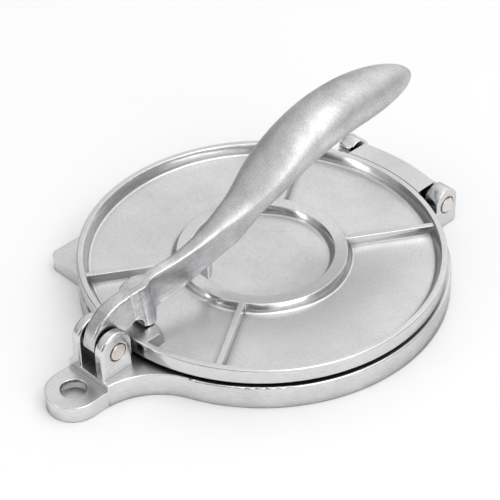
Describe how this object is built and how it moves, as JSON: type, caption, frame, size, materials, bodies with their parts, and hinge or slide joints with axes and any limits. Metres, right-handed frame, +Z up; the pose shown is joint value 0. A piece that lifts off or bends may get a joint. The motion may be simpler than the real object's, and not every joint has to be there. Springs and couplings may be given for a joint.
{
  "type": "tortilla press",
  "caption": "Hand press: two round cast plates hinged at the back, pressed together by a long curved lever pivoted on a front clevis.",
  "frame": {"origin": "centre of the base disc, on the table that the press stands on", "axes": "+Z up, +Y from the lever's pivot at the front towards the plate hinge at the rear, +X to the right seen from the front"},
  "size_m": [0.2056, 0.27, 0.1017],
  "materials": {
    "cast_metal": "satin, lightly brushed and polished",
    "pin_metal": "bright satin"
  },
  "bodies": {
    "base": {"base": "cast_metal", "lever_pin": "pin_metal", "hinge_pin": "pin_metal"},
    "top_plate": {"top_plate": "cast_metal"},
    "lever": {"lever": "cast_metal"}
  },
  "joints": [
    {"name": "lever_pivot", "type": "hinge", "parent": "base", "child": "lever", "pos_m": [0, -0.1167, 0.0286], "axis": [1, 0, 0], "range_deg": [0, 130]},
    {"name": "plate_hinge", "type": "hinge", "parent": "base", "child": "top_plate", "pos_m": [0, 0.1085, 0.0142], "axis": [-1, 0, 0], "range_deg": [0, 110]}
  ],
  "couplings": [
    {"joint": "plate_hinge", "follows": "lever_pivot", "ratio": 0.105}
  ]
}
